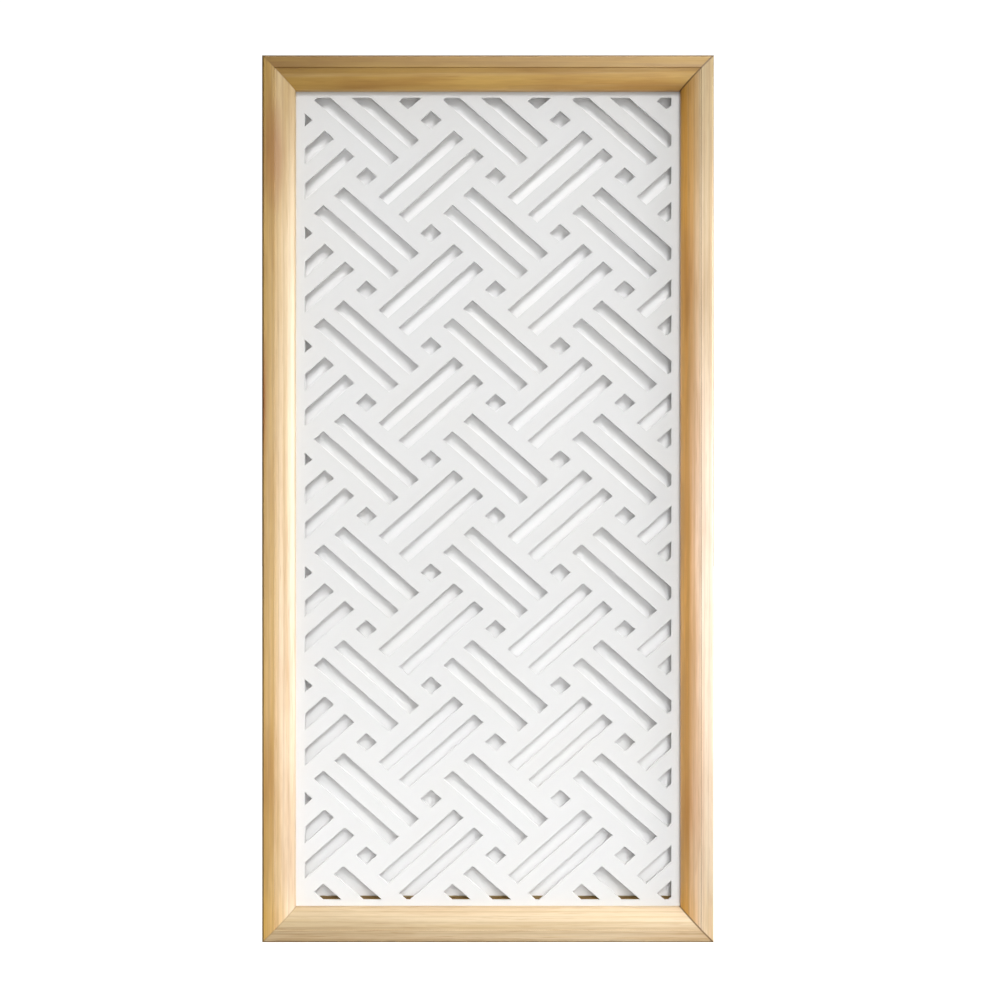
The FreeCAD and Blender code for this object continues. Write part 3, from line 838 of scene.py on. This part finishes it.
def frame_members(settings):
    """The four lengths of moulding, each with its own pine. Places in the wood follow the panel's box."""
    left, front, low = PANEL_LOW
    right, _, high = PANEL_HIGH
    width, rim = settings.moulding.width, settings.pine.painted_rim_shade_width
    golden, ruddy = settings.pine.heartwood, settings.pine.ruddy
    stile = model_moulding("left_stile", PANEL_SIZE.z, settings.moulding)
    rail = model_moulding("bottom_rail", PANEL_SIZE.x, settings.moulding)

    def up(part):
        return low + part * PANEL_SIZE.z

    # Each member's sapwood lies on the side where highlights fall and its heartwood where shade falls, so
    # the mix is wood colour and painted sheen and shade at once.
    left_stile = Member(
        piece=stile,
        along="Z",
        angle=0,
        place=(left, front, PANEL_MIDDLE.z),
        grain_shift=(0.0, 0.055, 0.35),
        sap=Sap("X", left + 0.15 * width, left + 0.95 * width, golden),
        # Painted shade: darker towards the top, and along the outer edge.
        shades=(
            Shade("Z", low, high, (1.12, 1.14, 1.0, 0.88, 0.66)),
            Shade("X", left, left + rim, (0.65, 0.35, 1)),
        ),
        stains=(
            Stain((left + 0.016, front, up(0.89)), reach=(0.021, 0.05, 0.078), strength=0.55),
            # This oval is painted shade: it widens the dark strip along the outer left edge above the
            # middle.
            Stain((left + 0.001, front, up(0.61)), reach=(0.010, 0.05, 0.120), strength=0.95),
        ),
    )
    right_stile = Member(
        piece=copy_piece(stile, "right_stile"),
        along="Z",
        angle=HALF_TURN,
        place=(right, front, PANEL_MIDDLE.z),
        grain_shift=(0.7, 0.07, -0.23),
        sap=Sap("X", right - 0.88 * width, right - 0.4 * width, ruddy),
        # Painted light and shade: a painted sheen lightens it from the foot to mid-height, the top and the
        # land are darker, and a thin painted shade runs along the outer edge.
        shades=(
            Shade("Z", low, high, (1.12, 1.32, 1.36, 1.0, 0.68)),
            Shade("X", right - 0.5 * width, right - 0.3 * width, (1, 0.87)),
            Shade("X", right - rim / 3, right, (1, 0.6)),
        ),
        stains=(
            Stain((right - 0.80 * width, front, up(0.75)), reach=(0.012, 0.05, 0.110), strength=0.3),
            Stain((right - 0.75 * width, front, up(0.15)), reach=(0.016, 0.05, 0.080), strength=0.3),
        ),
    )
    bottom_rail = Member(
        piece=rail,
        along="X",
        angle=-SQUARE_TURN,
        place=(PANEL_MIDDLE.x, front, low),
        grain_shift=(0.3, 0.06, 0.06),
        sap=Sap("Z", low - width, low + 0.2 * width, golden),
        # Painted shade: darker towards the left, along the bottom edge and across the middle of the curve.
        shades=(
            Shade("X", left, right, (0.76, 0.85, 0.93), warmth=0.4),
            Shade("Z", low, low + rim, (0.9, 0.6, 1)),
            Shade("Z", low + 0.2 * width, low + width, (1.0, 0.92, 1.0)),
        ),
    )
    top_rail = Member(
        piece=copy_piece(rail, "top_rail"),
        along="X",
        angle=SQUARE_TURN,
        place=(PANEL_MIDDLE.x, front, high),
        grain_shift=(0.9, 0.08, -1.14),
        sap=Sap("X", right, right + PANEL_SIZE.x, golden),
        # Painted light and shade: darker towards the left, lighter towards the sight edge, and a painted
        # shade along the rounded top edge.
        shades=(
            Shade("X", left, right, (0.53, 0.65, 0.74)),
            Shade("Z", high - width, high - width / 4, (1.7, 1)),
            Shade("Z", high - rim, high, (1, 0.5, 0.9)),
        ),
    )
    return left_stile, right_stile, bottom_rail, top_rail


class SCREENPANEL_OT_frame(bpy.types.Operator):
    """Model the two stiles and two rails of the frame and give each its own pine"""

    bl_idname = "screen_panel.frame"
    bl_label = "Frame Mouldings"

    def execute(self, context):
        settings = context.scene.screen_panel
        members = frame_members(settings)
        cutter = joinery_cutter()
        for member in members:
            piece = member.piece
            turn_and_move(piece, member.angle, member.place)
            cut(piece, cutter)
            dress(piece, lacquered_pine(member, settings.pine))
            finish_piece(piece, "pine_moulding", f"frame_{piece.name}")
        remove(cutter)
        return {"FINISHED"}


class SCREENPANEL_OT_biscuits(bpy.types.Operator):
    """Give the biscuits inside the mitres their beech"""

    bl_idname = "screen_panel.biscuits"
    bl_label = "Mitre Biscuits"

    def execute(self, context):
        material = pressed_beech()
        for name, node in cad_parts.items():
            if name.startswith("biscuit"):
                dress(node, material)
        return {"FINISHED"}


class SCREENPANEL_OT_lattice(bpy.types.Operator):
    """Ease the edges of the pierced sheet and paint it white"""

    bl_idname = "screen_panel.lattice"
    bl_label = "Lattice"

    def execute(self, context):
        sheets = context.scene.screen_panel.sheets
        piece = merged_copy("lattice_sheet", "lattice")
        ease_edges(piece, sheets.edge_easing, 2)
        # Painted light: the white is lighter towards the foot and towards the left.
        shades = (
            Shade("Z", PANEL_LOW.z, PANEL_HIGH.z, (1.09, 0.92, 0.875), warmth=0),
            Shade("X", LATTICE_LOW.x, LATTICE_HIGH.x, (1.01, 0.96, 0.925), warmth=0),
        )
        paint = white_paint("satin_white", sheets.lattice_paint, sheets.lattice_roughness, shades, sheets)
        dress(piece, paint)
        finish_piece(piece, "white_lattice", "lattice_sheet")
        return {"FINISHED"}


class SCREENPANEL_OT_backing(bpy.types.Operator):
    """Model the sheet behind the lattice, white in front and bare behind"""

    bl_idname = "screen_panel.backing"
    bl_label = "Backing"

    def execute(self, context):
        sheets = context.scene.screen_panel.sheets
        piece = block("backing", BACKING_LOW, BACKING_HIGH)
        ease_edges(piece, sheets.edge_easing, 2)
        cutter = merged_copy("backing_screws", "screw_cutter")
        cut(piece, cutter)
        remove(cutter)
        # Painted light: the white is lighter towards the top, where the top rail's shadow falls.
        shades = (Shade("Z", BACKING_LOW.z, BACKING_HIGH.z, (0.98, 1.0, 1.07), warmth=0),)
        front = white_paint("backing_white", sheets.backing_paint, sheets.backing_roughness, shades, sheets)
        dress(piece, bare_fibreboard(sheets), front)
        bpy.ops.object.mode_set(mode="EDIT")
        choose(piece, "FACE", faces_front)
        piece.active_material_index = 1
        bpy.ops.object.material_slot_assign()
        bpy.ops.object.mode_set(mode="OBJECT")
        finish_piece(piece, "white_backing", "backing_sheet")
        return {"FINISHED"}


class SCREENPANEL_OT_spacers(bpy.types.Operator):
    """Model the battens between the two sheets in bare pine"""

    bl_idname = "screen_panel.spacers"
    bl_label = "Spacers"

    def execute(self, context):
        settings = context.scene.screen_panel
        battens = (("bottom", "X"), ("top", "X"), ("left", "Z"), ("right", "Z"))
        for index, (side, along) in enumerate(battens):
            node = f"spacer_{side}"
            low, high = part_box(node)
            piece = block(f"{side}_spacer", low, high)
            ease_edges(piece, settings.moulding.arris_easing, 2)
            # Each batten shows another stretch of grain.
            grain_shift = (0.13 + index, 0.04, 0.03 * index)
            sap = Sap("Y", low.y, high.y, settings.pine.heartwood)
            # Painted shade: the battens are darkened to about a quarter, most at the front, as they sit in
            # the shade behind the lattice.
            shades = (Shade("Y", low.y, high.y, (0.24, 0.32)),)
            dress(piece, bare_pine(f"bare_pine_{side}", along, grain_shift, sap, shades, settings.pine))
            finish_piece(piece, "bare_pine", node)
        return {"FINISHED"}


def screw_places(reach):
    """The middle of each screw, read from the flat tops of the CAD heads."""
    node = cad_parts["backing_screws"]
    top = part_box("backing_screws")[1].y
    rims = [v.co for v in node.data.vertices if v.co.y > top - TOUCH]
    groups = []
    for point in rims:
        group = next((group for group in groups if (group[0] - point).length < reach), None)
        if group is None:
            group = []
            groups.append(group)
        group.append(point)
    return [sum(group, Vector()) / len(group) for group in groups]


def model_screw(name, sizes):
    """One screw about the Y axis, with its head on the X-Z plane and a cross recess in its dome."""
    dome = sizes.head_height - sizes.head_rim
    radius = (sizes.head_radius**2 + dome**2) / (2 * dome)
    pen = Pen(0, -sizes.screw_length)
    pen.line(sizes.shank_radius, sizes.point_length - sizes.screw_length)
    pen.line(sizes.shank_radius, 0)
    pen.line(sizes.head_radius, 0)
    pen.line(sizes.head_radius, sizes.head_rim)
    pen.arc((0, sizes.head_height - radius), math.asin(sizes.head_radius / radius), sizes.dome_steps)
    bpy.ops.mesh.select_all(action="SELECT")
    bpy.ops.mesh.spin(steps=sizes.round_steps, angle=FULL_TURN, center=(0, 0, 0), axis=(0, 1, 0))
    pen.join_ends()
    bpy.ops.mesh.normals_make_consistent(inside=False)
    bpy.ops.object.mode_set(mode="OBJECT")
    piece = name_piece(name)
    arm = Vector((sizes.recess_length, 2 * sizes.recess_depth, sizes.recess_width)) / 2
    middle = Vector((0, sizes.head_height, 0))
    cutter = block("recess_cutter", middle - arm, middle + arm)
    bpy.ops.object.mode_set(mode="EDIT")
    choose(cutter, "FACE", faces_front)
    floor_share = (0.45, 1, 0.7)
    bpy.ops.transform.resize(value=floor_share)
    bpy.ops.object.mode_set(mode="OBJECT")
    cut(piece, cutter)
    turn_and_move(cutter, SQUARE_TURN, (0, 0, 0))
    cut(piece, cutter)
    remove(cutter)
    return piece


class SCREENPANEL_OT_screws(bpy.types.Operator):
    """Model one zinc screw and set a copy in each hole of the backing"""

    bl_idname = "screen_panel.screws"
    bl_label = "Backing Screws"

    def execute(self, context):
        sizes = context.scene.screen_panel.screw
        pattern = model_screw("screw_pattern", sizes)
        material = zinc_plate()
        turn_step = math.radians(37)
        for index, place in enumerate(screw_places(sizes.head_radius * 2)):
            piece = copy_piece(pattern, f"backing_screw_{index + 1}")
            turn_and_move(piece, index * turn_step, (place.x, BACKING_HIGH.y, place.z))
            dress(piece, material)
            finish_piece(piece, "zinc_steel", "backing_screws")
        remove(pattern)
        return {"FINISHED"}


def studio_floor(stage):
    """A wide, plain, pale floor under the panel."""
    deselect()
    bpy.ops.mesh.primitive_circle_add(vertices=96, radius=stage.floor_radius, fill_type="NGON")
    floor = name_piece("floor")
    floor.location.z = PANEL_LOW.z - TOUCH
    finish = Finish("pale_floor")
    grey, pale = (0.90, 0.90, 0.90), (0.93, 0.93, 0.93)
    clouds = finish.noise(finish.place, size=1.2)
    body = finish.mix(finish.spread(clouds, *NOISE_RANGE), grey, pale)
    finish.set(Base_Color=body, Roughness=0.8, Emission_Color=WHITE, Emission_Strength=stage.floor_glow)
    dress(floor, finish.material)
    floor.visible_glossy = floor.visible_diffuse = False


def studio_world(scene, stage):
    """Even light from all round, and a white backdrop behind the panel."""
    world = bpy.data.worlds.new("Studio")
    scene.world = world
    world.use_nodes = True
    nodes, links = world.node_tree.nodes, world.node_tree.links
    direction = nodes.new("ShaderNodeTexCoord")
    axes = nodes.new("ShaderNodeSeparateXYZ")
    strength = nodes.new("ShaderNodeMapRange")
    strength.interpolation_type = "SMOOTHSTEP"
    limits = {"From Max": stage.backdrop_fade, "To Min": stage.ambient, "To Max": stage.backdrop}
    for name, limit in limits.items():
        strength.inputs[name].default_value = limit
    background = nodes["Background"]
    background.inputs["Color"].default_value = WHITE
    world.cycles_visibility.glossy = False
    links.new(direction.outputs["Generated"], axes.inputs[0])
    links.new(axes.outputs["Y"], strength.inputs["Value"])
    links.new(strength.outputs["Result"], background.inputs["Strength"])


def softbox(lamp, watts):
    """A rectangular lamp aimed at a point, which the camera doesn't see."""
    light = bpy.data.lights.new(lamp.name, "AREA")
    light.shape = "RECTANGLE"
    light.size, light.size_y = lamp.size
    light.spread = lamp.spread
    light.energy = watts
    holder = bpy.data.objects.new(lamp.name, light)
    bpy.context.scene.collection.objects.link(holder)
    holder.location = lamp.place
    holder.rotation_euler = (Vector(lamp.target) - Vector(lamp.place)).to_track_quat("-Z", "Y").to_euler()
    holder.visible_camera = False


def front_camera(scene, stage):
    """A level camera that looks straight at the front of the panel."""
    camera = bpy.data.cameras.new("camera")
    camera.lens = stage.lens
    holder = bpy.data.objects.new("camera", camera)
    scene.collection.objects.link(holder)
    holder.location = (stage.camera_across, PANEL_LOW.y - stage.camera_distance, stage.camera_up)
    holder.rotation_euler = (SQUARE_TURN, 0, 0)
    scene.camera = holder


class SCREENPANEL_OT_stage(bpy.types.Operator):
    """Set up the floor, the lamps and the camera"""

    bl_idname = "screen_panel.stage"
    bl_label = "Studio"

    def execute(self, context):
        scene = context.scene
        stage = scene.screen_panel.stage
        studio_floor(stage)
        studio_world(scene, stage)
        lamps = (
            Lamp("key", place=(0.75, -2.7, 2.55), target=(0, 0, 0.2), size=(2.1, 2.1), spread=0.84),
            Lamp("low", place=(0.68, -2.0, 0.33), target=PANEL_MIDDLE, size=(0.36, 0.62)),
            Lamp("fill", place=(-0.70, -2.0, 0.65), target=PANEL_MIDDLE, size=(0.6, 1.2)),
            Lamp("side", place=(1.75, -0.36, 0.8), target=(0, -0.36, 0.8), size=(0.6, 1.6)),
            Lamp("top", place=(0.1, -0.38, 2.7), target=(0.1, -0.38, 0), size=(1.6, 0.65)),
        )
        for lamp in lamps:
            softbox(lamp, getattr(stage, f"{lamp.name}_power"))
        front_camera(scene, stage)
        scene.view_settings.view_transform = "Standard"
        return {"FINISHED"}


OPERATORS = (
    SCREENPANEL_OT_frame,
    SCREENPANEL_OT_biscuits,
    SCREENPANEL_OT_lattice,
    SCREENPANEL_OT_backing,
    SCREENPANEL_OT_spacers,
    SCREENPANEL_OT_screws,
    SCREENPANEL_OT_stage,
)


class SCREENPANEL_PT_sidebar(bpy.types.Panel):
    """Lists the steps that make the panel"""

    bl_idname = "SCREENPANEL_PT_sidebar"
    bl_label = "Screen Panel"
    bl_space_type = "VIEW_3D"
    bl_region_type = "UI"
    bl_category = "Screen Panel"

    def draw(self, context):
        for operator in OPERATORS:
            self.layout.operator(operator.bl_idname)


CLASSES = (
    MouldingSettings,
    PineSettings,
    SheetSettings,
    ScrewSettings,
    StageSettings,
    PanelSettings,
    *OPERATORS,
    SCREENPANEL_PT_sidebar,
)


def register():
    for item in CLASSES:
        bpy.utils.register_class(item)
    bpy.types.Scene.screen_panel = PointerProperty(type=PanelSettings)


def unregister():
    del bpy.types.Scene.screen_panel
    for item in reversed(CLASSES):
        bpy.utils.unregister_class(item)


def main():
    """Makes every piece in order."""
    register()
    bpy.ops.screen_panel.frame()
    bpy.ops.screen_panel.biscuits()
    bpy.ops.screen_panel.lattice()
    bpy.ops.screen_panel.backing()
    bpy.ops.screen_panel.spacers()
    bpy.ops.screen_panel.screws()
    bpy.ops.screen_panel.stage()


if __name__ == "__main__":
    main()
